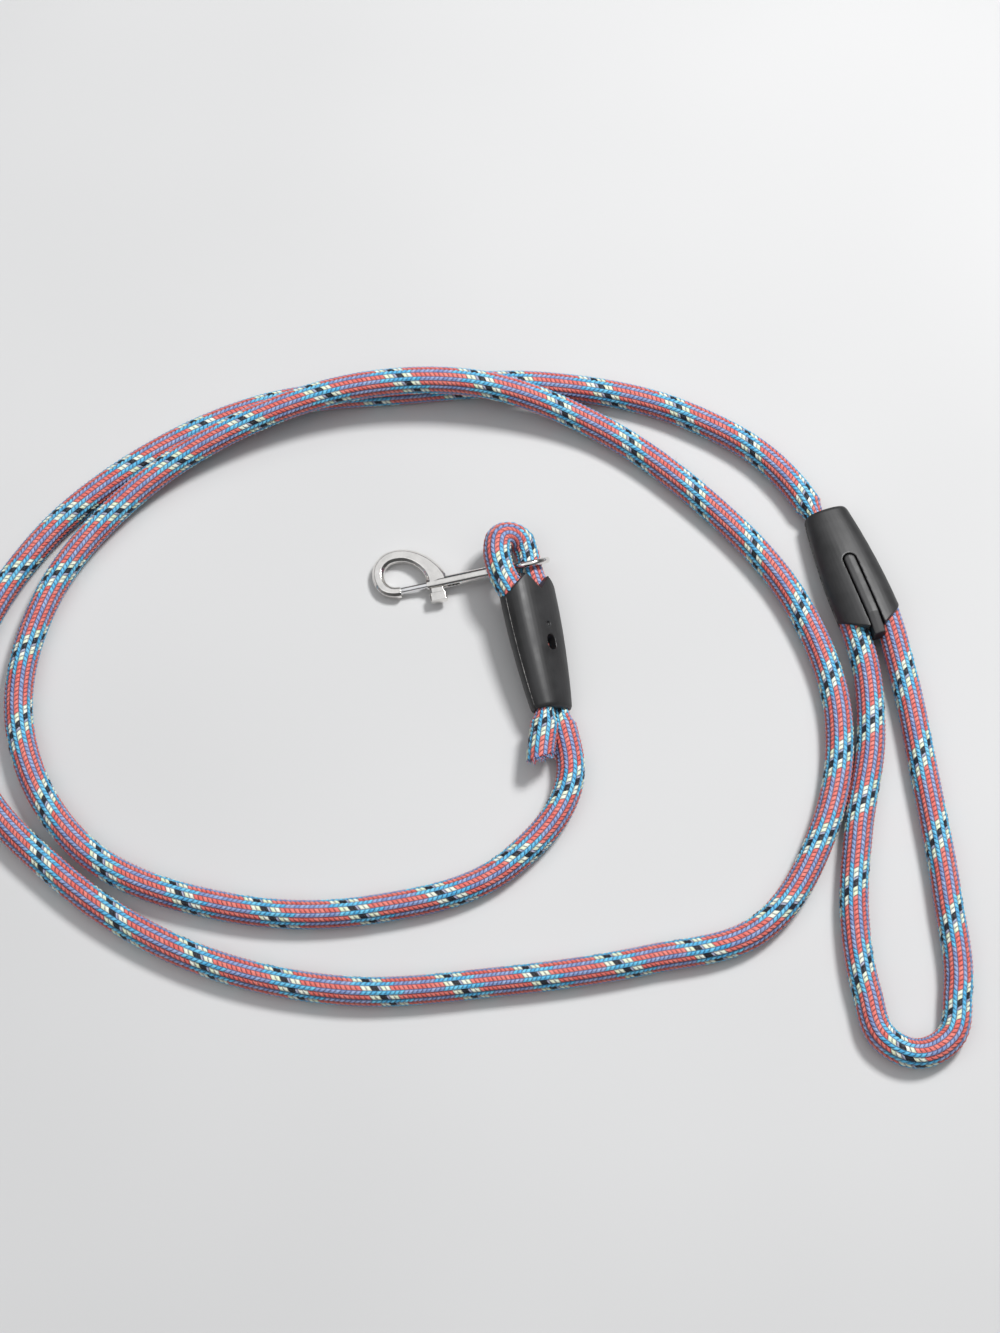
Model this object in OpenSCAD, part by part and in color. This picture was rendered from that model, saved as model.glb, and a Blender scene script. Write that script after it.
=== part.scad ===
// Lead rope: a round braided rope with two two-part clamps, a hand loop and a bolt snap.
// Millimetres, +Z up. It lies on the plane z = 0, with its origin below the middle of its box.

/* [Rope] */
// Diameter of the braided rope where nothing squeezes it
rope_d = 12; // [9.5:0.1:12.4]
// Diameter that the rope is squeezed to in a clamp's narrow end
squeezed_d = 9.2; // [7.5:0.1:9.4]

/* [Clamp] */
// Length of a clamp from its narrow end to the outer corners of its rim
clamp_len = 55.5; // [46:0.5:67]
// How far the rim's points stand past those corners
rim_point = 9.5; // [6:0.5:11.5]
// Width across the narrow end
narrow_w = 21; // [20.8:0.1:26]
// Width across the wide end
wide_w = 30; // [29.6:0.1:36]
// Thickness of the narrow end, both halves together
narrow_t = 14; // [11.5:0.1:16.8]
// Thickness of the wide end, both halves together
wide_t = 19; // [15.8:0.1:22.8]
// Distance between the two rope channels at the narrow end
narrow_pitch = 9.4; // [9.3:0.1:10]
// How much wider the two rope channels spread for each millimetre towards the rim
channel_spread = 0.119; // [0.1:0.001:0.13]
// Width of the catch tongue
tongue_w = 5.4; // [4:0.1:6.4]
// Gap on each side of the tongue in its slot
tongue_gap = 0.6; // [0.3:0.1:0.9]
// Distance from the narrow end to the start of the slot
slot_start = 26.5; // [20:0.5:32]
// Width of the oval window in the plain half
window_w = 5; // [3.5:0.1:6]
// Length of the oval window in the plain half
window_len = 7.6; // [6.1:0.1:9]
// Height of the gripping teeth above the channel wall
tooth_h = 1.6; // [0.8:0.1:2]

/* [Bolt snap] */
// Outside diameter of the barrel
barrel_d = 5.6; // [5.2:0.1:6.8]
// Length of the barrel from its mouth to its eye end
barrel_len = 35.6; // [34:0.1:43]
// Diameter of the barrel's bore, in which the bolt slides
bore_d = 3.7; // [3.5:0.1:4.2]
// Diameter of the bolt's bare rod
rod_d = 3; // [2.4:0.1:3.2]
// Gap all round between the bolt and its bore
running_gap = 0.05; // [0.02:0.01:0.09]
// Travel of the bolt from shut to open
bolt_travel = 8; // [6:0.5:10]
// Length of the opening between the nose and the barrel
gate_len = 12.6; // [10.5:0.1:15.2]
// Width of the hook's bar at its round end
hook_w = 5.5; // [4.4:0.1:6.6]
// Thickness of the hook's bar, up and down
hook_t = 5.2; // [4.2:0.1:5.4]
// Distance from the bolt's line to the middle of the bar across the hook
hook_rise = 17.8; // [15:0.1:21.4]
// How far the middle of the round end stands past the nose
hook_reach = 9.3; // [7.5:0.1:11.2]
// Length of the web where it joins the barrel
web_len = 9.8; // [8:0.1:11.8]
// Diameter of the wire of the swivel eye
eye_wire_d = 3; // [2.4:0.1:3.4]
// Inside diameter of the swivel eye
eye_d = 15; // [14.6:0.1:18]
// Diameter of the swivel eye's neck
neck_d = 2.4; // [1.9:0.1:2.8]
// Length of the thumb pad along the barrel
pad_len = 7.9; // [6.5:0.1:9.5]
// Diameter of the spring's wire
spring_wire_d = 0.45; // [0.3:0.05:0.6]
// Number of turns in the spring
spring_turns = 10; // [7:1:14]

/* [Hidden] */
$fn = 48;

// Where the hand clamp's narrow end and the snap clamp's rim lie, and how the clamps are turned
hand_clamp_at = [177, 92.5, 7.2];
hand_clamp_turn = [0, -2.5, -72];
snap_clamp_at = [35.4, 45.9, 12.5];
snap_clamp_turn = [222, -3.9, 101];
// Where the barrel's eye end lies, the snap's slope and heading, and how far the eye leans
snap_at = [22.3, 63.2, 8.1];
snap_turn = [0, -4.9, 11];
eye_lean = 24;

// Directions of the two clamps' channels, from narrow end to rim
hand_way = [0.309, -0.95, 0.044];
snap_way = [-0.19, 0.979, 0.068];

// The rope's route: x, y, z, and the share of the full diameter that is left there.
// The main run goes from inside the hand clamp to inside the snap clamp.
tight = squeezed_d / rope_d;
snug = 0.97;
MAIN_RUN = [
    [179.5, 64.5, 8.4, snug],
    [172.5, 91, 7.2, tight],
    [155, 118, 6.4, 1],
    [112, 147, 6, 1],
    [46, 163, 6, 1],
    [-26, 160, 6, 1],
    [-96, 150, 6, 1],
    [-150, 122, 6, 1],
    [-198, 76, 6, 1],
    [-224, 18, 6, 1],
    [-218, -38, 6, 1],
    [-176, -86, 6, 1],
    [-116, -123, 6, 1],
    [-48, -139, 6, 1],
    [22, -135, 6, 1],
    [88, -125, 6, 1],
    [136, -112, 6, 1],
    [168, -66, 6, 1],
    [178, -10, 6, 1],
    [162, 46, 6, 1],
    [118, 102, 6, 1],
    [68, 140, 8, 1],
    [16, 157, 17.3, 1],
    [-40, 157, 18.4, 1],
    [-100, 138, 15, 1],
    [-155, 101, 9, 1],
    [-191, 50, 6.4, 1],
    [-199, -16, 6, 1],
    [-168, -72, 6, 1],
    [-100, -101, 6, 1],
    [-34, -102, 6, 1],
    [26, -81, 6, 1],
    [54, -40, 6, 1],
    [49.5, -8, 5.5, tight],
    [45.5, 19, 6.2, snug]];
HAND_LOOP = [
    [183.5, 88.5, 7.5, tight],
    [191.5, 69, 8.4, snug],
    [201.5, 43.5, 9.5, 1],
    [209, 12, 6.6, 1],
    [216, -40, 6, 1],
    [222, -95, 6, 1],
    [223.5, -140, 6, 1],
    [218, -160.5, 6, 1],
    [204, -167, 6, 1],
    [190, -160.5, 6, 1],
    [183.5, -140, 6, 1],
    [180, -104, 6, 1],
    [184, -66, 6, 1],
    [192.5, -20, 6.1, 1],
    [192, 14, 6.7, 1],
    [186, 38.5, 9.5, 1],
    [179.5, 64.5, 8.4, snug]];
SNAP_LOOP = [
    [45.5, 19, 6.2, snug],
    [41.5, 45.5, 7, 1],
    [35.8, 65, 9.2, snug],
    [34.7, 71, 9.4, snug],
    [31.9, 76.5, 10.7, 1],
    [26.7, 78.2, 13.9, 1],
    [21.8, 75, 17.3, 1],
    [20.6, 69, 18.8, 1],
    [22.8, 57, 19.2, 1],
    [30, 43.5, 17.6, 1],
    [36.5, 17, 14.7, snug],
    [42.5, -9, 11.8, tight],
    [40.5, -32, 10.5, 1]];
rope_step = 41;
rope_sides = 12;

// Clamp sections: distance from the narrow end, then how far the rounded edge draws in
narrow_edge = 1.6;
tip = clamp_len + rim_point;
tongue_end = tip + 4;
squeeze_len = 28;
channel_r = rope_d / 2;
squeezed_r = squeezed_d / 2;
edge_draw = 1.1;
swell_power = 0.85;
corner_power = 0.82;
tooth_places = [11, 20, 42];
rim_bow = 1.6;
STATIONS = [0, 0.4, narrow_edge, 8, 15, 22, 29, 36, 43, 49, clamp_len, tip + 2];
shell_sides = 22;

// Bolt snap, along its own X from the hook (negative) to the swivel eye at zero
eye_r = eye_d / 2 + eye_wire_d / 2;
neck_room = 2.8;
barrel_end = -(eye_r + eye_wire_d / 2 + neck_room);
end_wall = 4;
bore_end = barrel_end - end_wall;
head_len = 1.7;
mouth = barrel_end - barrel_len;
mouth_wall = 1.5;
nose = mouth - gate_len;
shoulder = mouth + mouth_wall + 0.1;
piston_len = 8;
piston_end = shoulder + piston_len;
stud_x = shoulder + 2.8;
tab_len = 5.6;
tab_t = 2;
pin_d = 1.8;
bevel = 1.3;
// Middle line of the hook's bar from the nose round to the barrel: x, y, z, and how far its
// width has grown from hook_w to web_len
HOOK_BAR = [
    [nose, -0.7, 0, -0.2],
    [nose - 0.45 * hook_reach, 0, 0, -0.16],
    [nose - 0.8 * hook_reach, 0.13 * hook_rise, 0, -0.06],
    [nose - hook_reach, 0.46 * hook_rise, 0, 0],
    [nose - 0.86 * hook_reach, 0.76 * hook_rise, 0, 0.02],
    [nose - 0.42 * hook_reach, 0.96 * hook_rise, 0, 0.07],
    [nose + 0.1 * gate_len, hook_rise, 0, 0.12],
    [nose + 0.48 * gate_len, 0.94 * hook_rise, 0, 0.14],
    [nose + 0.74 * gate_len, 0.84 * hook_rise, 0, 0.2],
    [mouth - 0.5, 0.71 * hook_rise, 0, 0.3],
    [mouth + 2.2, 0.53 * hook_rise, 0, 0.45],
    [mouth + 3.9, 0.35 * hook_rise, 0, 0.65],
    [mouth + 5, 0.16 * hook_rise, 0, 0.9],
    [mouth + 5.3, 0.4, 0, 1]];
hook_step = 1.7;

// ---- The rope ----

function unit(v) = v / norm(v);
function place(p) = [p[0], p[1], p[2]];

// Direction of the route at point i: the two spans' directions, the nearer one counting more
function heading(route, i, first, last) =
    i == 0 ? unit(first)
    : i == len(route) - 1 ? unit(last)
    : let (back = place(route[i]) - place(route[i - 1]),
           ahead = place(route[i + 1]) - place(route[i]))
      unit(unit(back) * norm(ahead) + unit(ahead) * norm(back));

// A point of the smooth curve from point i to point i + 1, at share s of the span
function between(route, i, s, first, last) =
    let (p = place(route[i]),
         q = place(route[i + 1]),
         from = heading(route, i, first, last),
         to = heading(route, i + 1, first, last),
         reach = norm(q - p) / pow(cos(acos(min(1, from * to)) / 4), 2),
         u = from * reach,
         w = to * reach)
    p * (2 * s * s * s - 3 * s * s + 1) + u * (s * s * s - 2 * s * s + s)
    + q * (3 * s * s - 2 * s * s * s) + w * (s * s * s - s * s);

function share(route, i, s) = route[i][3] * (1 - s) + route[i + 1][3] * s;

// The rings' centres, no further apart than the longest step, each with its share
function rings(route, first, last, longest) = concat(
    [for (i = [0 : len(route) - 2])
        let (steps = ceil(norm(place(route[i + 1]) - place(route[i])) / longest))
        for (k = [0 : steps - 1])
            [between(route, i, k / steps, first, last), share(route, i, k / steps)]],
    [[place(route[len(route) - 1]), route[len(route) - 1][3]]]);

function ring_way(centres, j, first, last) =
    j == 0 ? unit(first)
    : j == len(centres) - 1 ? unit(last)
    : unit(unit(centres[j + 1][0] - centres[j][0]) + unit(centres[j][0] - centres[j - 1][0]));

// Two triangles for each step round neighbouring rings of n points, and a face over each end
function skin_faces(count, n) = concat(
    [[for (k = [0 : n - 1]) k]],
    [for (j = [0 : count - 2], k = [0 : n - 1])
        [j * n + k, (j + 1) * n + k, (j + 1) * n + (k + 1) % n]],
    [for (j = [0 : count - 2], k = [0 : n - 1])
        [j * n + k, (j + 1) * n + (k + 1) % n, j * n + (k + 1) % n]],
    [[for (k = [n - 1 : -1 : 0]) (count - 1) * n + k]]);

function flipped(faces) = [for (f = faces) [for (k = [len(f) - 1 : -1 : 0]) f[k]]];

module rope_tube(route, first, last) {
    centres = rings(route, first, last, rope_step);
    points = [for (j = [0 : len(centres) - 1])
        let (way = ring_way(centres, j, first, last),
             side = unit(cross(way, [0, 0, 1])),
             up = cross(side, way),
             r = rope_d / 2 * centres[j][1])
        for (k = [0 : rope_sides - 1])
            let (a = 360 * (k + 0.5) / rope_sides)
            centres[j][0] + side * r * cos(a) - up * r * sin(a)];
    polyhedron(points, skin_faces(len(centres), rope_sides), convexity = 10);
}

module rope_main_run() {
    color("salmon") rope_tube(MAIN_RUN, -hand_way, snap_way);
}

module rope_hand_loop() {
    color("cornflowerblue") rope_tube(HAND_LOOP, hand_way, -hand_way);
}

module rope_snap_loop() {
    color("lightskyblue") rope_tube(SNAP_LOOP, snap_way, [-0.05, -0.998, -0.05]);
}

// ---- The clamps: X from the narrow end to the rim, Y across, slotted half on +Z ----

function swell(x) = pow(sin(90 * min(1, max(0, x) / clamp_len)), swell_power);
function edge_in(x) = x >= narrow_edge ? 0 : edge_draw * (1 - sqrt(1 - pow(1 - x / narrow_edge, 2)));
function half_w(x) = (narrow_w + (wide_w - narrow_w) * swell(x)) / 2 - edge_in(x);
function half_t(x) = (narrow_t + (wide_t - narrow_t) * swell(x)) / 2 - edge_in(x);

// A point on the rounded section at angle a
function rounded(v) = sign(v) * pow(abs(v), corner_power);

module half_shell_body(up) {
    points = [for (x = STATIONS, k = [0 : shell_sides])
        let (a = 180 * k / shell_sides)
        [x, half_w(x) * rounded(cos(a)), up * half_t(x) * rounded(sin(a))]];
    faces = skin_faces(len(STATIONS), shell_sides + 1);
    polyhedron(points, up > 0 ? faces : flipped(faces), convexity = 4);
}

// The rope swells from its squeezed size over squeeze_len, then to its full size by twice that
function channel_y(x) = (narrow_pitch + channel_spread * x) / 2;
function channel_size(x) = x < squeeze_len
    ? squeezed_r + (channel_r * snug - squeezed_r) * max(0, x) / squeeze_len
    : channel_r * min(1, snug + (1 - snug) * (x / squeeze_len - 1));

module channels() {
    stops = [-1, squeeze_len / 2, squeeze_len, 2 * squeeze_len, tongue_end];
    sides = 24;
    for (hand = [-1, 1]) {
        points = [for (x = stops, k = [0 : sides - 1])
            let (a = 360 * (k + 0.5) / sides)
            [x, hand * channel_y(x) + channel_size(x) * cos(a), channel_size(x) * sin(a)]];
        polyhedron(points, skin_faces(len(stops), sides), convexity = 4);
    }
}

// Cones on each channel's wall that bite the rope
module teeth(up) {
    for (hand = [-1, 1], x = tooth_places) {
        root = channel_size(x) + 0.5;
        translate([x, hand * channel_y(x), up * root]) rotate([up > 0 ? 180 : 0, 0, 0])
            cylinder(h = tooth_h + 0.5, r1 = 1.3, r2 = 0.3, $fn = 16);
    }
}

// Outline of the rim that is kept. It rises from the outer corners to the points.
module rim_outline(point_y, notch_x) {
    rise = [for (s = [0 : 0.125 : 1]) [clamp_len + rim_point * s,
        wide_w / 2 + (point_y - wide_w / 2) * pow(s, rim_bow)]];
    far = wide_w;
    polygon(concat([[-5, -far], [clamp_len, -far]],
        [for (p = rise) [p[0], -p[1]]],
        [[notch_x, 0]],
        [for (i = [len(rise) - 1 : -1 : 0]) rise[i]],
        [[clamp_len, far], [-5, far]]));
}

module slot_outline(w, start, end) {
    translate([start + w / 2, 0]) circle(d = w);
    translate([start + w / 2, -w / 2]) square([end - start - w / 2, w]);
}

// The catch tongue: a rib between the two ropes, crowned, sloping down past the rim
module tongue() {
    start = slot_start + tongue_gap;
    bend = clamp_len + 3;
    stops = [start - 1, start + 8, start + 16, start + 24, bend, tongue_end];
    proud = 0.35;
    drop = 2.6;
    half = tongue_w / 2;
    points = [for (x = stops)
        let (z = half_t(x) + proud - (x > bend ? drop : 0))
        for (p = [[-1, -0.5], [-1, z - 1], [-0.75, z - 0.25], [0, z], [0.75, z - 0.25],
            [1, z - 1], [1, -0.5]])
            [x, p[0] * (half + 0.5), p[1]]];
    intersection() {
        polyhedron(points, flipped(skin_faces(len(stops), 7)), convexity = 4);
        translate([0, 0, -1]) linear_extrude(wide_t) slot_outline(tongue_w, start, tongue_end);
    }
}

module slotted_half() {
    difference() {
        intersection() {
            half_shell_body(1);
            translate([0, 0, -1]) linear_extrude(wide_t) rim_outline(tongue_w / 2 + 1.4, tip);
        }
        channels();
        translate([0, 0, -1]) linear_extrude(wide_t)
            slot_outline(tongue_w + 2 * tongue_gap, slot_start, tongue_end + 1);
    }
    intersection() {
        half_shell_body(1);
        teeth(1);
    }
}

module plain_half() {
    window_x = 31;
    dimple_x = 40;
    reach = window_len - window_w;
    difference() {
        union() {
            intersection() {
                half_shell_body(-1);
                translate([0, 0, -wide_t]) linear_extrude(wide_t + 1) rim_outline(7, clamp_len + 2);
            }
            tongue();
        }
        channels();
        for (x = [window_x - reach / 2, window_x + reach / 2])
            translate([x, 0, -wide_t]) cylinder(d = window_w, h = wide_t - 1);
        translate([window_x - reach / 2, -window_w / 2, -wide_t])
            cube([reach, window_w, wide_t - 1]);
        translate([dimple_x, 0, -half_t(dimple_x) - 1]) cylinder(d = 2.3, h = 2);
    }
    intersection() {
        half_shell_body(-1);
        teeth(-1);
    }
}

module at_hand_clamp() {
    translate(hand_clamp_at) rotate(hand_clamp_turn) children();
}

module at_snap_clamp() {
    translate(snap_clamp_at) rotate(snap_clamp_turn) translate([-clamp_len, 0, 0]) children();
}

module hand_clamp_slotted_half() {
    color("dimgray") at_hand_clamp() slotted_half();
}

module hand_clamp_plain_half() {
    color("black") at_hand_clamp() plain_half();
}

module snap_clamp_slotted_half() {
    color("dimgray") at_snap_clamp() slotted_half();
}

module snap_clamp_plain_half() {
    color("black") at_snap_clamp() plain_half();
}

// ---- The bolt snap ----

module at_snap() {
    translate(snap_at) rotate(snap_turn) translate([-barrel_end, 0, 0]) children();
}

// A cylinder along X from x0 to x1
module rod(d, x0, x1) {
    translate([x0, 0, 0]) rotate([0, 90, 0]) cylinder(d = d, h = x1 - x0);
}

// A cone along X from diameter d0 at x0 to diameter d1 at x1
module taper(d0, d1, x0, x1) {
    translate([x0, 0, 0]) rotate([0, 90, 0]) cylinder(d1 = d0, d2 = d1, h = x1 - x0);
}

// The hook bar's bevelled section
function bar_section(w, t) = [[w, bevel - t], [w, t - bevel], [w - bevel, t], [bevel - w, t],
    [-w, t - bevel], [-w, bevel - t], [bevel - w, -t], [w - bevel, -t]];

module hook_bar() {
    first = [-1, 0, 0];
    last = [0, -1, 0];
    centres = rings(HOOK_BAR, first, last, hook_step);
    points = [for (j = [0 : len(centres) - 1])
        let (way = ring_way(centres, j, first, last),
             side = unit(cross(way, [0, 0, 1])),
             w = hook_w + (web_len - hook_w) * centres[j][1])
        for (p = bar_section(w / 2, hook_t / 2))
            centres[j][0] + side * p[0] - [0, 0, p[1]]];
    polyhedron(points, skin_faces(len(centres), 8), convexity = 6);
}

module snap_hook() {
    slot_x0 = stud_x - tab_len / 2 - 0.2;
    slot_x1 = stud_x + tab_len / 2 + bolt_travel + 0.2;
    mouth_taper = 6;
    collar_d = barrel_d + 1.2;
    color("silver") at_snap() difference() {
        union() {
            taper(barrel_d - 0.6, barrel_d, mouth, mouth + mouth_taper);
            rod(barrel_d, mouth + mouth_taper, barrel_end);
            taper(barrel_d, collar_d, barrel_end - 5, barrel_end - 3);
            rod(collar_d, barrel_end - 3, barrel_end - 1);
            taper(collar_d, barrel_d - 1, barrel_end - 1, barrel_end);
            hook_bar();
        }
        rod(bore_d, mouth + mouth_wall, bore_end);
        rod(rod_d + 2 * running_gap, mouth - 3, mouth + mouth_wall + 1);
        rod(neck_d + 2 * running_gap, bore_end - 1, barrel_end + 1);
        translate([slot_x0, -barrel_d, -tab_t / 2 - 0.1])
            cube([slot_x1 - slot_x0, barrel_d, tab_t + 0.2]);
    }
}

module snap_bolt() {
    tip_gap = 0.2;
    color("lightgray") at_snap() difference() {
        union() {
            rod(rod_d, nose + tip_gap, shoulder + 1);
            rod(bore_d - 2 * running_gap, shoulder, piston_end);
        }
        translate([stud_x, 0, 0]) rotate([90, 0, 0]) cylinder(d = pin_d, h = bore_d, center = true);
    }
}

module thumb_stud() {
    pad_y0 = barrel_d / 2 + 2.2;
    pad_y1 = pad_y0 + 4.2;
    pad_t = 4;
    corner = 0.6;
    half = pad_len / 2;
    flat_y = bore_d / 2 - running_gap;
    color("silver") at_snap() translate([stud_x, 0, 0]) {
        rotate([90, 0, 0]) cylinder(d = pin_d, h = flat_y + 0.5);
        translate([-tab_len / 2, -pad_y0 - 0.5, -tab_t / 2])
            cube([tab_len, pad_y0 + 0.5 - flat_y, tab_t]);
        translate([0, -pad_y0, 0]) rotate([90, 0, 0]) linear_extrude(pad_y1 - pad_y0)
            polygon([[-half, corner - pad_t / 2], [-half, pad_t / 2 - corner],
                [corner - half, pad_t / 2], [half - corner, pad_t / 2],
                [half, pad_t / 2 - corner], [half, corner - pad_t / 2],
                [half - corner, -pad_t / 2], [corner - half, -pad_t / 2]]);
    }
}

module bolt_spring() {
    x0 = piston_end + spring_wire_d / 2 + 0.05;
    x1 = bore_end - head_len - 0.15 - spring_wire_d / 2;
    r = bore_d / 2 - 0.15 - spring_wire_d / 2;
    per_turn = 12;
    sides = 6;
    count = spring_turns * per_turn;
    points = [for (j = [0 : count], k = [0 : sides - 1])
        let (a = 360 * j / per_turn,
             b = 360 * k / sides,
             reach = r + spring_wire_d / 2 * cos(b))
        [x0 + (x1 - x0) * j / count + spring_wire_d / 2 * sin(b), reach * cos(a), reach * sin(a)]];
    color("gray") at_snap()
        polyhedron(points, skin_faces(count + 1, sides), convexity = 10);
}

module swivel_eye() {
    head_d = bore_d - 0.3;
    color("silver") at_snap() {
        rotate([90 + eye_lean, 0, 0]) rotate_extrude($fn = 96)
            translate([eye_r, 0]) circle(d = eye_wire_d, $fn = 24);
        rod(neck_d, bore_end - head_len / 2, -eye_r);
        taper(neck_d, neck_d + 1.6, -eye_r - eye_wire_d / 2 - 1.2, -eye_r - 0.6);
        rod(head_d, bore_end - head_len - 0.1, bore_end - 0.1);
    }
}

rope_main_run();
rope_hand_loop();
rope_snap_loop();
hand_clamp_slotted_half();
hand_clamp_plain_half();
snap_clamp_slotted_half();
snap_clamp_plain_half();
snap_hook();
snap_bolt();
thumb_stud();
bolt_spring();
swivel_eye();
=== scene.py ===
import math

import bpy
import numpy as np
from mathutils import Matrix, Vector


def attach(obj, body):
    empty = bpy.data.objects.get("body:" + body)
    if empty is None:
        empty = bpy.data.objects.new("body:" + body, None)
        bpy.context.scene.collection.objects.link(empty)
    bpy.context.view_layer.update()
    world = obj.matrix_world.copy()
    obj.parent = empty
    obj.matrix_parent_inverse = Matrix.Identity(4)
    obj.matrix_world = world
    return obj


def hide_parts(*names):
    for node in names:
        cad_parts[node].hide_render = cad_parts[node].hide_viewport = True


# The lead rope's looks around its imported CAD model. Metres, the CAD's own frame.

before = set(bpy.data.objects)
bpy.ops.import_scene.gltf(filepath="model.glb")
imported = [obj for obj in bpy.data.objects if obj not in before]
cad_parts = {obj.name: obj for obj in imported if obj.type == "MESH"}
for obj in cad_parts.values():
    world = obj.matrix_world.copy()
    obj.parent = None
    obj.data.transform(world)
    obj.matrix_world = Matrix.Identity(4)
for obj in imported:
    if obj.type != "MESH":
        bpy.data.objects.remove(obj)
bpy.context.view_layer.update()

MM = 0.001
ROOT = "rope_and_clamps"

# ---------------------------------------------------------------- camera

CAMERA_AT = (22 * MM, -386 * MM, 998 * MM)
CAMERA_TILT = math.radians(22.0)
SENSOR_HEIGHT = 36.0
LENS = 62.1


def make_camera():
    data = bpy.data.cameras.new("camera")
    data.sensor_fit = "VERTICAL"
    data.sensor_height = SENSOR_HEIGHT
    data.lens = LENS
    camera = bpy.data.objects.new("camera", data)
    camera.location = CAMERA_AT
    camera.rotation_euler = (CAMERA_TILT, 0, 0)
    bpy.context.collection.objects.link(camera)
    bpy.context.scene.camera = camera


make_camera()

# ---------------------------------------------------------------- small helpers


def mesh_object(name, points, faces):
    """A smooth-shaded mesh that rides with the rope and clamps."""
    mesh = bpy.data.meshes.new(name)
    mesh.from_pydata([tuple(p) for p in points], [], [tuple(f) for f in faces])
    mesh.validate()
    mesh.polygons.foreach_set("use_smooth", [True] * len(mesh.polygons))
    piece = bpy.data.objects.new(name, mesh)
    bpy.context.collection.objects.link(piece)
    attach(piece, ROOT)
    return piece


def unit(v):
    return v / np.linalg.norm(v)


def smoothstep(x):
    x = np.clip(x, 0.0, 1.0)
    return x * x * (3 - 2 * x)


def srgb(r, g, b):
    """A linear colour from 0-255 display values."""
    made = []
    for c in (r, g, b):
        c /= 255
        made.append(c / 12.92 if c <= 0.04045 else ((c + 0.055) / 1.055) ** 2.4)
    return (*made, 1.0)


def grey(value):
    return (value, value, value, 1)


class Nodes:
    """Short ways to build a material's node tree."""

    def __init__(self, name):
        self.material = bpy.data.materials.new(name)
        self.material.use_nodes = True
        self.tree = self.material.node_tree
        self.shader = next(n for n in self.tree.nodes if n.type == "BSDF_PRINCIPLED")

    def add(self, kind, **settings):
        node = self.tree.nodes.new(kind)
        for key, value in settings.items():
            setattr(node, key, value)
        return node

    def put(self, value, socket):
        if isinstance(value, bpy.types.NodeSocket):
            self.tree.links.new(value, socket)
        else:
            socket.default_value = value

    def math(self, operation, *values):
        node = self.add("ShaderNodeMath", operation=operation)
        for i, value in enumerate(values):
            self.put(value, node.inputs[i])
        return node.outputs[0]

    def mix(self, factor, first, second, blend="MIX"):
        node = self.add("ShaderNodeMix", data_type="RGBA", blend_type=blend)
        self.put(factor, node.inputs[0])
        self.put(first, node.inputs[6])
        self.put(second, node.inputs[7])
        return node.outputs[2]

    def noise(self, scale, detail=2.0, vector=None, roughness=0.5):
        node = self.add("ShaderNodeTexNoise")
        node.inputs["Scale"].default_value = scale
        node.inputs["Detail"].default_value = detail
        node.inputs["Roughness"].default_value = roughness
        if vector is not None:
            self.put(vector, node.inputs["Vector"])
        return node

    def ramp(self, value, *stops):
        """A colour ramp from (place, colour) stops."""
        node = self.add("ShaderNodeValToRGB")
        self.put(value, node.inputs[0])
        line = node.color_ramp.elements
        while len(line) < len(stops):
            line.new(0.5)
        for element, (place, colour) in zip(line, stops):
            element.position = place
            element.color = colour
        return node.outputs[0]

    def between(self, value, low, high):
        """1 where value lies from low to high, else 0."""
        above = self.math("GREATER_THAN", value, low)
        below = self.math("LESS_THAN", value, high)
        return self.math("MULTIPLY", above, below)

    def bump(self, height, strength, distance, normal=None):
        node = self.add("ShaderNodeBump")
        node.inputs["Strength"].default_value = strength
        node.inputs["Distance"].default_value = distance
        self.put(height, node.inputs["Height"])
        if normal is not None:
            self.put(normal, node.inputs["Normal"])
        return node.outputs[0]

    def set(self, **sockets):
        for key, value in sockets.items():
            self.put(value, self.shader.inputs[key.replace("_", " ")])


def object_space(n):
    return n.add("ShaderNodeTexCoord").outputs["Object"]


# ---------------------------------------------------------------- the rope

ROPE_D = 12 * MM
TIGHT = 9.2 / 12
SNUG = 0.97
WHOLE = 0.999             # from this share up, the rope counts as unsqueezed

# The route that part.scad gives, in millimetres, with the share of the diameter left at each point
HAND_WAY = np.array([0.309, -0.95, 0.044])
SNAP_WAY = np.array([-0.19, 0.979, 0.068])
TAIL_WAY = np.array([-0.05, -0.998, -0.05])
HAND_LOOP = [
    (183.5, 88.5, 7.5, TIGHT), (191.5, 69, 8.4, SNUG), (201.5, 43.5, 9.5, 1),
    (209, 12, 6.6, 1), (216, -40, 6, 1), (222, -95, 6, 1), (223.5, -140, 6, 1),
    (218, -160.5, 6, 1), (204, -167, 6, 1), (190, -160.5, 6, 1), (183.5, -140, 6, 1),
    (180, -104, 6, 1), (184, -66, 6, 1), (192.5, -20, 6.1, 1), (192, 14, 6.7, 1),
    (186, 38.5, 9.5, 1), (179.5, 64.5, 8.4, SNUG)]
MAIN_RUN = [
    (179.5, 64.5, 8.4, SNUG), (172.5, 91, 7.2, TIGHT), (155, 118, 6.4, 1),
    (112, 147, 6, 1), (46, 163, 6, 1), (-26, 160, 6, 1), (-96, 150, 6, 1),
    (-150, 122, 6, 1), (-198, 76, 6, 1), (-224, 18, 6, 1), (-218, -38, 6, 1),
    (-176, -86, 6, 1), (-116, -123, 6, 1), (-48, -139, 6, 1), (22, -135, 6, 1),
    (88, -125, 6, 1), (136, -112, 6, 1), (168, -66, 6, 1), (178, -10, 6, 1),
    (162, 46, 6, 1), (118, 102, 6, 1), (68, 140, 8, 1), (16, 157, 17.3, 1),
    (-40, 157, 18.4, 1), (-100, 138, 15, 1), (-155, 101, 9, 1), (-191, 50, 6.4, 1),
    (-199, -16, 6, 1), (-168, -72, 6, 1), (-100, -101, 6, 1), (-34, -102, 6, 1),
    (26, -81, 6, 1), (54, -40, 6, 1), (49.5, -8, 5.5, TIGHT), (45.5, 19, 6.2, SNUG)]
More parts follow.
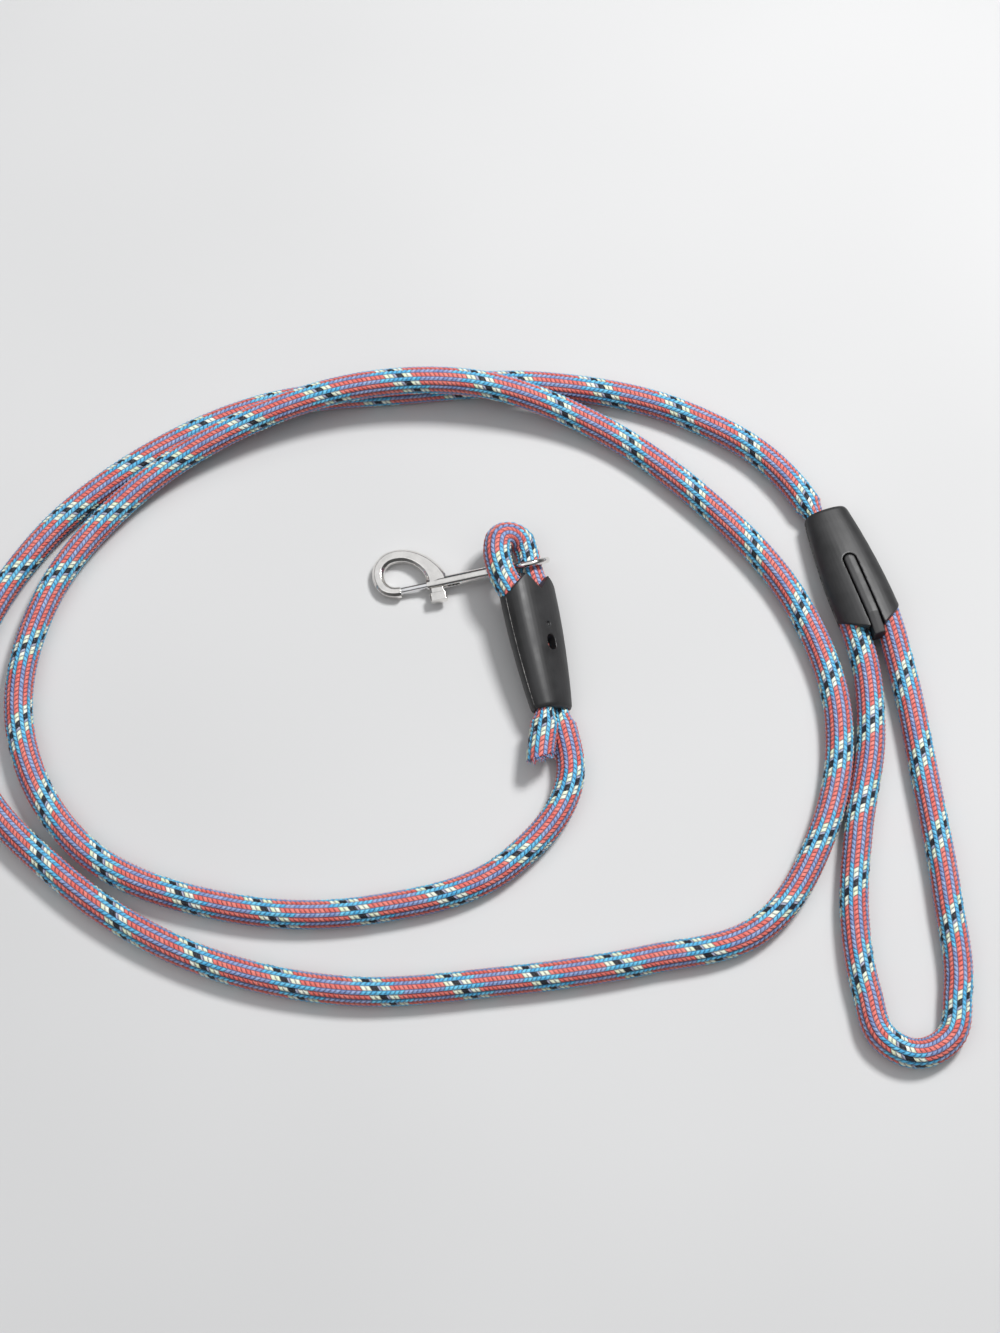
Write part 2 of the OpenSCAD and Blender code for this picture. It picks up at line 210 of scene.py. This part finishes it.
SNAP_LOOP = [
    (45.5, 19, 6.2, SNUG), (41.5, 45.5, 7, 1), (35.8, 65, 9.2, SNUG),
    (34.7, 71, 9.4, SNUG), (31.9, 76.5, 10.7, 1), (26.7, 78.2, 13.9, 1), (21.8, 75, 17.3, 1),
    (20.6, 69, 18.8, 1), (22.8, 57, 19.2, 1), (30, 43.5, 17.6, 1), (36.5, 17, 14.7, SNUG),
    (42.5, -9, 11.8, TIGHT), (40.5, -32, 10.5, 1)]

# The braid: columns of stitches round the rope, stitches along it, and the tracer's repeat
COLUMNS = 18
RED_SHARE = 0.54          # how much of a red and blue pair the red column takes
STITCH = 2.18 * MM
REPEAT = 18
TRACER_START = 8          # stitches by which the first tracer is moved along
# Where the tracer's bands lie along the rope, in millimetres from its start in the hand clamp.
# The braid is stretched a little unevenly, so they are not equally far apart.
BANDS = [1146, 1190, 1233, 1273, 1313, 1348.5, 1383, 1420, 1456, 1499, 1537, 1578, 1618, 1655,
         1693.5, 1732.5, 1772.5, 1812.5]
FIRST_BAND = 530.2        # stitches before the first of those bands
LEAN = 0.75               # how far a stitch slants across its column, in stitches
RINGS_PER_STITCH = 5
SIDES_PER_COLUMN = 4
RELIEF = 0.8 * MM         # from the valleys between stitches up to their crowns
VALLEY = 0.12             # height left between the stitches of one column, as a share
CROWN_POWER = 2.6         # how square a stitch is across its column
BEAD_POWER = 0.7          # how square it is along the rope
FULLNESS = 1.11           # the loose braid outside the clamps is this much fuller
SWELL_LENGTH = 7 * MM     # how far outside a clamp the rope swells back to its full size
FLOOR_GAP = 0.02 * MM     # how high above the floor the flattened underside lies
SLANT_LENGTH = 10 * MM    # length of tail over which the rings lean into the slanted cut
SLANT = 3.2 * MM          # how far the cut's edge stands before and behind its middle
SLANT_TRIM = 0.6 * MM     # how far the whole cut is set back
SLANT_TURN = 0.6          # where round the rope, in radians, the cut reaches furthest


def headings(points, first, last):
    spans = np.diff(points, axis=0)
    sizes = np.linalg.norm(spans, axis=1)
    ways = spans / sizes[:, None]
    inner = [unit(ways[i - 1] * sizes[i] + ways[i] * sizes[i - 1]) for i in range(1, len(spans))]
    return [unit(first), *inner, unit(last)]


def smooth_route(route, first, last, steps=40):
    """The curve that part.scad sweeps its tubes along, finely stepped, with the diameter's share."""
    route = np.array(route, float)
    points, shares = route[:, :3] * MM, route[:, 3]
    ways = headings(points, first, last)
    curve, kept = [], []
    for i in range(len(points) - 1):
        p, q = points[i], points[i + 1]
        span = np.linalg.norm(q - p)
        turn = math.acos(min(1.0, float(ways[i] @ ways[i + 1])))
        reach = span / math.cos(turn / 4) ** 2
        for s in np.arange(steps) / steps:
            curve.append(p * (2 * s**3 - 3 * s**2 + 1) + ways[i] * reach * (s**3 - 2 * s**2 + s)
                         + q * (3 * s**2 - 2 * s**3) + ways[i + 1] * reach * (s**3 - s**2))
            a, b = shares[i], shares[i + 1]
            if b == 1 and a < SNUG:
                kept.append(a + (b - a) * smoothstep(s * span / SWELL_LENGTH))
            elif a == 1 and b < SNUG:
                kept.append(b + (a - b) * smoothstep((1 - s) * span / SWELL_LENGTH))
            else:
                kept.append(a + (b - a) * s)
    return curve, kept


def whole_route():
    curve, kept = [], []
    for route, first, last in ((HAND_LOOP, HAND_WAY, -HAND_WAY), (MAIN_RUN, -HAND_WAY, SNAP_WAY),
                               (SNAP_LOOP, SNAP_WAY, TAIL_WAY)):
        more, shares = smooth_route(route, first, last)
        curve += more
        kept += shares
    curve.append(np.array(SNAP_LOOP[-1][:3]) * MM)
    kept.append(1.0)
    return np.array(curve), np.array(kept)


def resample(curve, kept, step):
    along = np.concatenate([[0], np.cumsum(np.linalg.norm(np.diff(curve, axis=0), axis=1))])
    count = int(along[-1] / step)
    at = np.linspace(0, along[-1], count + 1)
    centres = np.stack([np.interp(at, along, curve[:, i]) for i in range(3)], axis=1)
    # A short running mean takes out the corners between interpolated points
    for _ in range(3):
        centres[1:-1] = (centres[:-2] + 2 * centres[1:-1] + centres[2:]) / 4
    return at, centres, np.interp(at, along, kept)


def ring_frames(centres):
    ways = np.gradient(centres, axis=0)
    ways /= np.linalg.norm(ways, axis=1)[:, None]
    sides = np.cross(ways, (0, 0, 1))
    sides /= np.linalg.norm(sides, axis=1)[:, None]
    return ways, sides, np.cross(sides, ways)


route_points, route_shares = whole_route()
along, centres, shares = resample(route_points, route_shares, STITCH / RINGS_PER_STITCH)
ROPE_LENGTH = float(along[-1])
ways, sides, ups = ring_frames(centres)


def column_places():
    """Each vertex's place round the rope: its angle as a share of the turn, and its column."""
    count = COLUMNS * SIDES_PER_COLUMN
    column = np.arange(count) / SIDES_PER_COLUMN
    pair, rest = np.divmod(column, 2)
    share = np.where(rest < 1, rest * RED_SHARE, RED_SHARE + (rest - 1) * (1 - RED_SHARE))
    return (pair + share) / (COLUMNS / 2), column


def braid_height(column, stitch):
    """0 in the valleys and 1 on top of a stitch."""
    across = column % 1 - 0.5
    lean = np.where(column.astype(int) % 2 == 0, LEAN, -LEAN)
    phase = (stitch + lean * across) % 1
    crown = 1 - np.abs(2 * across) ** CROWN_POWER
    bead = np.sin(np.pi * phase) ** BEAD_POWER
    return crown * (VALLEY + (1 - VALLEY) * bead)


def stitch_count(s):
    """Stitches from the rope's start to each arc length s."""
    bands = np.array(BANDS) * MM
    counts = FIRST_BAND + REPEAT * np.arange(len(bands))
    before = counts[0] - bands[0] / STITCH
    after = counts[-1] + (ROPE_LENGTH - bands[-1]) / STITCH
    return np.interp(s, [0.0, *bands, ROPE_LENGTH], [before, *counts, after])


def rope_surface(turn, column, stitch):
    """The rope's vertices, ring by ring."""
    height = braid_height(column[None, :], stitch[:, None])
    free = smoothstep((shares - SNUG) / (1 - SNUG))
    full = ROPE_D / 2 * shares * (1 + (FULLNESS - 1) * free)
    radius = full[:, None] - RELIEF * (1 - height)
    angle = 2 * np.pi * turn[None, :]
    # The tail is cut on the slant: its last rings lean over
    slant = smoothstep(1 - (along[-1] - along) / SLANT_LENGTH)[:, None]
    lean_over = slant * (np.cos(angle - SLANT_TURN) * SLANT - SLANT_TRIM)
    points = (centres[:, None] + sides[:, None] * (radius * np.cos(angle))[..., None]
              + ups[:, None] * (radius * np.sin(angle))[..., None]
              + ways[:, None] * lean_over[..., None]).reshape(-1, 3)
    points[:, 2] = np.maximum(points[:, 2], FLOOR_GAP)
    return points


def rope_maps(j, k, stitch):
    """Two maps of the quads: the braid's own columns and stitches, and a layout in rows that
    uses each place once."""
    rows, row_gap, margin, filled = 9, 0.03, 0.005, 0.985
    u = np.stack([k, k + 1, k + 1, k], -1).reshape(-1, 4) / SIDES_PER_COLUMN
    v = stitch[np.stack([j, j, j + 1, j + 1], -1).reshape(-1, 4)]
    row_length = stitch[-1] / rows + 0.02
    row = np.floor((v.mean(1) / row_length))[:, None]
    sheet_u = (v - row * row_length) / row_length * filled + margin
    sheet_v = (row + row_gap + (1 - 2 * row_gap) * u / COLUMNS) / rows
    return [np.stack(pair, -1).reshape(-1, 2) for pair in ((u, v), (sheet_u, sheet_v))]


def make_rope():
    turn, column = column_places()
    n, rings = len(column), len(centres)
    stitch = stitch_count(along)
    points = rope_surface(turn, column, stitch)
    j, k = np.meshgrid(np.arange(rings - 1), np.arange(n), indexing="ij")
    after = (k + 1) % n
    quads = np.stack([j * n + k, j * n + after, (j + 1) * n + after, (j + 1) * n + k], -1)
    quads = quads.reshape(-1, 4)

    mesh = bpy.data.meshes.new("braided_rope")
    mesh.vertices.add(len(points))
    mesh.vertices.foreach_set("co", points.ravel())
    caps = [list(range(n))[::-1], [(rings - 1) * n + i for i in range(n)]]
    loops = np.concatenate([quads.ravel(), *caps])
    starts = np.concatenate([np.arange(len(quads)) * 4,
                             [len(quads) * 4, len(quads) * 4 + n]])
    mesh.loops.add(len(loops))
    mesh.loops.foreach_set("vertex_index", loops.astype(np.int32))
    mesh.polygons.add(len(starts))
    mesh.polygons.foreach_set("loop_start", starts.astype(np.int32))
    mesh.polygons.foreach_set("use_smooth", np.ones(len(starts), bool))

    # Each end cap is a single point of a map: the braid's origin, and a free corner of the layout
    braid, layout = rope_maps(j, k, stitch)
    braid = np.concatenate([braid, np.zeros((2 * n, 2))])
    layout = np.concatenate([layout, np.full((2 * n, 2), 0.9975)])
    mesh.uv_layers.new(name="UVMap").uv.foreach_set("vector", layout.ravel())
    mesh.uv_layers.new(name="braid").uv.foreach_set("vector", braid.ravel())
    mesh.update(calc_edges=True)
    mesh.validate()
    piece = bpy.data.objects.new("braided_rope", mesh)
    bpy.context.collection.objects.link(piece)
    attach(piece, ROOT)
    return piece


def rope_material():
    n = Nodes("braided_rope")
    lie = n.add("ShaderNodeUVMap", uv_map="braid").outputs[0]
    parts = n.add("ShaderNodeSeparateXYZ")
    n.put(lie, parts.inputs[0])
    u, v = parts.outputs[0], parts.outputs[1]
    column = n.math("FLOOR", u)
    across = n.math("SUBTRACT", n.math("FRACT", u), 0.5)
    blue = n.math("MODULO", column, 2.0)
    lean = n.math("MULTIPLY_ADD", blue, -2 * LEAN, LEAN)
    leaned = n.math("MULTIPLY_ADD", across, lean, v)
    stitch = n.math("FLOOR", leaned)
    phase = n.math("FRACT", leaned)
    # beat counts a stitch's place in the tracer's repeat, which winds round the rope
    pair = n.math("FLOOR", n.math("MULTIPLY", u, 0.5))
    turned = n.math("SUBTRACT", n.math("MULTIPLY_ADD", pair, 2.0, stitch), float(TRACER_START))
    beat = n.math("FLOORED_MODULO", n.math("ADD", turned, blue), float(REPEAT))

    # One random number for each stitch, for its shade
    spot = n.add("ShaderNodeCombineXYZ")
    n.put(column, spot.inputs[0])
    n.put(stitch, spot.inputs[1])
    white = n.add("ShaderNodeTexWhiteNoise", noise_dimensions="2D")
    n.put(spot.outputs[0], white.inputs["Vector"])
    chance = white.outputs["Value"]

    coral = n.mix(chance, srgb(230, 104, 94), srgb(242, 134, 122))
    pale = n.mix(chance, srgb(232, 244, 206), srgb(248, 252, 236))
    black = srgb(18, 20, 34)
    lilac = srgb(168, 172, 194)
    periwinkle = n.mix(chance, srgb(126, 150, 202), srgb(158, 180, 222))
    sky = n.mix(chance, srgb(72, 176, 228), srgb(116, 210, 244))

    # The tracer is six pale stitches of each red column, where black covers the third and half
    # of the fourth and lilac the rest of the fourth, and nine sky stitches of each blue column
    tracer = n.between(beat, -0.5, 5.5)
    red_column = n.mix(tracer, coral, pale)
    place = n.math("ADD", beat, phase)
    red_column = n.mix(n.between(place, 1.9, 3.45), red_column, black)
    red_column = n.mix(n.between(place, 3.45, 4.0), red_column, lilac)
    shifted = n.math("FLOORED_MODULO", n.math("ADD", turned, 3.0), float(REPEAT))
    blue_column = n.mix(n.between(shifted, 0.5, 9.5), periwinkle, sky)
    base = n.mix(blue, red_column, blue_column)

    # Fine filaments run along each stitch, and painted shade darkens the creases between stitches
    strand = n.add("ShaderNodeCombineXYZ")
    apart = n.math("ADD", phase, n.math("MULTIPLY", stitch, 7.3))
    n.put(n.math("MULTIPLY", apart, 5.5), strand.inputs[0])
    n.put(n.math("MULTIPLY", u, 1.6), strand.inputs[1])
    filaments = n.noise(1.0, 3.0, strand.outputs[0], 0.65).outputs["Fac"]
    shading = n.ramp(filaments, (0.3, (0.5, 0.5, 0.52, 1)), (0.62, grey(1)))
    base = n.mix(0.6, base, shading, "MULTIPLY")
    # Painted shade: the creases at each stitch's sides and ends are darkened towards dark purple, as
    # shade in the valleys of the braid
    side = n.math("ABSOLUTE", n.math("MULTIPLY", across, 2.0))
    end = n.math("ABSOLUTE", n.math("MULTIPLY_ADD", phase, 2.0, -1.0))
    crease_shade = n.math("MAXIMUM", n.math("POWER", side, 4.0), n.math("POWER", end, 3.0))
    base = n.mix(n.math("MULTIPLY", crease_shade, 0.9), base, (0.10, 0.07, 0.16, 1), "MULTIPLY")
    n.set(Base_Color=base, Roughness=n.ramp(filaments, (0.2, grey(0.66)), (0.8, grey(0.42))))
    n.set(Sheen_Weight=0.15, Sheen_Roughness=0.5, Specular_IOR_Level=0.45)
    lump = n.math("MULTIPLY", n.math("SUBTRACT", 1.0, n.math("POWER", side, 3.0)),
                  n.math("SUBTRACT", 1.0, n.math("POWER", end, 3.0)))
    n.set(Normal=n.bump(filaments, 0.4, 0.2 * MM, n.bump(lump, 0.8, 0.5 * MM)))
    return n.material


def fibre(start, way, length, curl, rng, radius):
    """Points and faces of one fine fibre that leaves start along way and bends at random."""
    steps, corners = 5, 3
    line, heading = [start], way
    for _ in range(steps):
        heading = unit(heading + rng.normal(0, curl, 3))
        line.append(line[-1] + heading * length / steps)
    line = np.array(line)
    line[:, 2] = np.maximum(line[:, 2], FLOOR_GAP + radius)
    points, faces = [], []
    for j, centre in enumerate(line):
        ahead = unit(line[min(j + 1, steps)] - line[max(j - 1, 0)])
        side = unit(np.cross(ahead, (0.31, 0.17, 0.93)))
        up = np.cross(side, ahead)
        thin = radius * (1 - 0.6 * j / steps)
        for k in range(corners):
            a = 2 * math.pi * k / corners
            points.append(centre + side * thin * math.cos(a) + up * thin * math.sin(a))
    for j in range(steps):
        for k in range(corners):
            m = (k + 1) % corners
            faces.append((j * corners + k, j * corners + m, (j + 1) * corners + m,
                          (j + 1) * corners + k))
    return points, faces


def fibre_mesh(name, fibres):
    points, faces = [], []
    for some, quads in fibres:
        faces += [tuple(i + len(points) for i in quad) for quad in quads]
        points += some
    return mesh_object(name, points, faces)


FUZZ_FIBRES = 900
FRAY_FIBRES = 260


def make_fuzz():
    """Short loose fibres that stand off the braid all along the rope."""
    rng = np.random.default_rng(7)
    free = np.flatnonzero(shares > WHOLE)
    below = 0.35
    made = []
    for j in rng.choice(free, FUZZ_FIBRES):
        a = rng.uniform(-below, math.pi + below)
        out = sides[j] * math.cos(a) + ups[j] * math.sin(a)
        start = centres[j] + out * (ROPE_D / 2 * FULLNESS - 0.5 * MM)
        way = unit(out * rng.uniform(0.25, 0.9) + ways[j] * rng.uniform(-1, 1))
        made.append(fibre(start, way, rng.uniform(1.2, 3.2) * MM, 0.3, rng, 0.045 * MM))
    return fibre_mesh("loose_fibres", made)


def make_fray():
    """Cut yarns that splay from the tail's end."""
    rng = np.random.default_rng(11)
    made = []
    for _ in range(FRAY_FIBRES):
        a, reach = rng.uniform(0, 2 * math.pi), rng.uniform(0.15, 1) ** 0.5
        out = sides[-1] * math.cos(a) + ups[-1] * math.sin(a)
        lean = SLANT * math.cos(a - SLANT_TURN) * reach - 1.6 * MM
        start = (centres[-1] + out * reach * (ROPE_D / 2 * FULLNESS - 0.7 * MM)
                 + ways[-1] * lean)
        long = 1.2 if a < math.pi else 0.55
        way = unit(ways[-1] + out * rng.uniform(0, 0.7))
        made.append(fibre(start, way, rng.uniform(1.6, 3.8) * long * MM, 0.22, rng, 0.2 * MM))
    return fibre_mesh("frayed_end", made)


def fibre_material(name, *tones):
    n = Nodes(name)
    cells = n.add("ShaderNodeTexVoronoi")
    n.put(object_space(n), cells.inputs["Vector"])
    cells.inputs["Scale"].default_value = 700.0
    parts = n.add("ShaderNodeSeparateColor")
    n.put(cells.outputs["Color"], parts.inputs[0])
    stops = [((i + 0.5) / len(tones), tone) for i, tone in enumerate(tones)]
    n.set(Base_Color=n.ramp(parts.outputs[0], *stops), Roughness=0.6)
    return n.material


def cut_material():
    n = Nodes("rope_cut_end")
    ends = n.add("ShaderNodeTexVoronoi")
    n.put(object_space(n), ends.inputs["Vector"])
    ends.inputs["Scale"].default_value = 1500.0
    tone = n.ramp(ends.outputs["Distance"], (0.1, srgb(236, 110, 98)), (0.6, srgb(150, 40, 44)))
    n.set(Base_Color=tone, Roughness=0.8)
    return n.material


rope = make_rope()
rope.data.materials.append(rope_material())
rope.data.materials.append(cut_material())
rope.data.polygons[-1].material_index = 1
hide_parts("rope_main_run", "rope_hand_loop", "rope_snap_loop")
fuzz = make_fuzz()
fuzz.data.materials.append(fibre_material("loose_fibres", srgb(126, 170, 214),
                                          srgb(220, 226, 224), srgb(214, 140, 136)))
fray = make_fray()
fray.data.materials.append(fibre_material("frayed_end", srgb(74, 160, 220),
                                          srgb(150, 200, 236), srgb(224, 84, 80)))

# ---------------------------------------------------------------- the clamps


def plastic_material():
    n = Nodes("clamp_plastic")
    where = object_space(n)
    cloudy = n.noise(90.0, 3.0, where).outputs["Fac"]
    spark = n.noise(5200.0, 3.0, where, 0.6).outputs["Fac"]
    dust = n.noise(1400.0, 4.0, where, 0.7).outputs["Fac"]
    base = n.ramp(cloudy, (0.35, (0.011, 0.011, 0.0115, 1)), (0.7, (0.021, 0.021, 0.022, 1)))
    dusty = n.ramp(dust, (0.66, grey(0)), (0.8, grey(0.35)))
    base = n.mix(dusty, base, (0.10, 0.10, 0.105, 1))
    n.set(Base_Color=base, Roughness=n.ramp(cloudy, (0.3, grey(0.40)), (0.75, grey(0.56))))
    n.set(Specular_IOR_Level=0.5)
    n.set(Normal=n.bump(spark, 0.22, 0.05 * MM))
    return n.material


def metal_material(name, colour, rough_low, rough_high):
    n = Nodes(name)
    where = object_space(n)
    cloudy = n.noise(160.0, 3.0, where).outputs["Fac"]
    scuffs = n.noise(2600.0, 4.0, where, 0.7).outputs["Fac"]
    dull = tuple(c * 0.72 for c in colour[:3]) + (1,)
    base = n.mix(n.ramp(cloudy, (0.4, grey(0)), (0.75, grey(0.6))), colour, dull)
    n.set(Base_Color=base, Metallic=1.0)
    n.set(Roughness=n.ramp(scuffs, (0.35, grey(rough_low)), (0.75, grey(rough_high))))
    n.set(Normal=n.bump(n.noise(420.0, 2.0, where).outputs["Fac"], 0.12, 0.3 * MM))
    return n.material


def softened(node, name, body, voxel, smoothing):
    """The CAD node's shape with its edges rounded off, as a moulding's or a casting's are."""
    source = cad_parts[node]
    mesh = source.data.copy()
    mesh.name = name
    mesh.materials.clear()
    piece = bpy.data.objects.new(name, mesh)
    bpy.context.collection.objects.link(piece)
    remesh = piece.modifiers.new("remesh", "REMESH")
    remesh.mode = "VOXEL"
    remesh.voxel_size = voxel
    remesh.use_smooth_shade = True
    ease = piece.modifiers.new("ease", "SMOOTH")
    ease.factor = 0.5
    ease.iterations = smoothing
    bpy.context.view_layer.update()
    view = bpy.context.evaluated_depsgraph_get()
    made = bpy.data.meshes.new_from_object(piece.evaluated_get(view))
    piece.modifiers.clear()
    piece.data = made
    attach(piece, body)
    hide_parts(node)
    return piece


# The clamps' sizes in part.scad, in millimetres
CLAMP_LEN = 55.5
NARROW_W, WIDE_W = 21.0, 30.0
SWELL_POWER = 0.85
# Each clamp's place: a point on its line, its roll, slope and heading there, and how far along
# the clamp from its narrow end that point is
CLAMPS = {"hand_clamp": ((177, 92.5, 7.2), (0, -2.5, -72), 0.0),
          "snap_clamp": ((35.4, 45.9, 12.5), (222, -3.9, 101), CLAMP_LEN)}

plastic = plastic_material()
for clamp in CLAMPS:
    for half in ("slotted_half", "plain_half"):
        shell = softened(f"{clamp}_{half}", f"{clamp}_{half}_shell", ROOT,
                         0.32 * MM, 5)
        shell.data.materials.append(plastic)


def clamp_matrix(at, turn, back):
    roll, slope, heading = (math.radians(a) for a in turn)
    return (Matrix.Translation(Vector(at) * MM) @ Matrix.Rotation(heading, 4, "Z")
            @ Matrix.Rotation(slope, 4, "Y") @ Matrix.Rotation(roll, 4, "X")
            @ Matrix.Translation((-back * MM, 0, 0)))


def clamp_half_width(x):
    swell = math.sin(math.pi / 2 * x / CLAMP_LEN) ** SWELL_POWER
    return (NARROW_W + (WIDE_W - NARROW_W) * swell) / 2


def parting_lines(name):
    """The thin ridge of flash where a clamp's two halves meet, on both its edges."""
    ridge = 0.2
    corners = 4
    placed = clamp_matrix(*CLAMPS[name])
    rng = np.random.default_rng(5)
    points, faces = [], []
    for side in (-1, 1):
        xs = np.linspace(2.2, CLAMP_LEN - 0.6, 44)
        rough = np.convolve(rng.uniform(0.6, 1.2, len(xs) + 2), np.ones(3) / 3, "valid")
        first = len(points)
        for x, share in zip(xs, rough):
            half = clamp_half_width(x)
            r = ridge * share
            for dy, dz in ((r, 0), (0, r), (-r, 0), (0, -r)):
                points.append(placed @ Vector((x * MM, side * (half + dy) * MM, dz * MM)))
        for j in range(len(xs) - 1):
            for k in range(corners):
                m = (k + 1) % corners
                a, b = first + corners * j, first + corners * (j + 1)
                faces.append((a + k, a + m, b + m, b + k))
    return mesh_object(f"{name}_parting_lines", points, faces)


def flash_material():
    n = Nodes("clamp_flash_painted_highlight")
    patchy_highlight = n.noise(900.0, 3.0, object_space(n)).outputs["Fac"]
    # Painted highlight: pale grey patches along the flash ridge stand in for the light caught on the
    # parting line's edge, on both sides of each clamp
    n.set(Base_Color=n.ramp(patchy_highlight, (0.35, (0.04, 0.04, 0.042, 1)), (0.65, (0.3, 0.29, 0.28, 1))))
    n.set(Roughness=0.6)
    return n.material


flash = flash_material()
for clamp in CLAMPS:
    seam = parting_lines(clamp)
    seam.data.materials.append(flash)

# ---------------------------------------------------------------- the bolt snap

nickel = metal_material("nickel_casting", (0.86, 0.84, 0.81, 1), 0.09, 0.22)
steel = metal_material("turned_steel", (0.84, 0.84, 0.84, 1), 0.12, 0.26)
spring_steel = metal_material("spring_steel", (0.42, 0.42, 0.44, 1), 0.3, 0.45)

hook = softened("snap_hook", "snap_hook_casting", "snap", 0.16 * MM, 4)
hook.data.materials.append(nickel)
eye = softened("swivel_eye", "swivel_eye_casting", "eye", 0.14 * MM, 2)
eye.data.materials.append(nickel)
stud = softened("thumb_stud", "thumb_stud_casting", "bolt", 0.12 * MM, 6)
stud.data.materials.append(nickel)

for node, material in (("snap_bolt", steel), ("bolt_spring", spring_steel)):
    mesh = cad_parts[node].data
    if not mesh.materials:
        mesh.materials.append(material)
    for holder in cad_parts[node].material_slots:
        holder.material = material

# ---------------------------------------------------------------- floor and light


def make_floor():
    half = 1.6
    floor = bpy.data.meshes.new("floor")
    floor.from_pydata([(-half, -half, 0), (half, -half, 0), (half, half, 0), (-half, half, 0)],
                      [], [(0, 1, 2, 3)])
    made = bpy.data.objects.new("floor", floor)
    bpy.context.collection.objects.link(made)
    n = Nodes("floor")
    tone = n.noise(3.0, 2.0, object_space(n)).outputs["Fac"]
    n.set(Base_Color=n.ramp(tone, (0.3, grey(0.55)), (0.7, grey(0.59))))
    n.set(Roughness=0.85)
    floor.materials.append(n.material)


def area_light(name, place, size, power):
    """A round light that faces the middle of the floor."""
    data = bpy.data.lights.new(name, "AREA")
    data.shape = "DISK"
    data.size = size
    data.energy = power
    made = bpy.data.objects.new(name, data)
    made.location = place
    aim = -Vector(place)
    made.rotation_euler = aim.to_track_quat("-Z", "Y").to_euler()
    bpy.context.collection.objects.link(made)


def make_world():
    """A dim room: bright overhead, a dark band round it, so that round metal shows streaks."""
    world = bpy.data.worlds.new("studio")
    world.use_nodes = True
    tree = world.node_tree
    where = tree.nodes.new("ShaderNodeTexCoord")
    parts = tree.nodes.new("ShaderNodeSeparateXYZ")
    ramp = tree.nodes.new("ShaderNodeValToRGB")
    tree.links.new(where.outputs["Generated"], parts.inputs[0])
    tree.links.new(parts.outputs[2], ramp.inputs[0])
    stops = ((0.0, 0.5), (0.3, 0.12), (0.62, 0.06), (0.76, 1.0), (1.0, 1.1))
    line = ramp.color_ramp.elements
    while len(line) < len(stops):
        line.new(0.5)
    for element, (height, tone) in zip(line, stops):
        element.position = height
        element.color = (tone * 0.97, tone * 0.98, tone, 1)
    back = tree.nodes["Background"]
    tree.links.new(ramp.outputs[0], back.inputs["Color"])
    back.inputs["Strength"].default_value = 0.8
    return world


make_floor()
area_light("key", (0.75, 0.75, 1.5), 0.45, 32)
area_light("fill", (-1.1, -0.5, 1.3), 1.4, 4)
bpy.context.scene.world = make_world()
bpy.context.scene.view_settings.view_transform = "Standard"
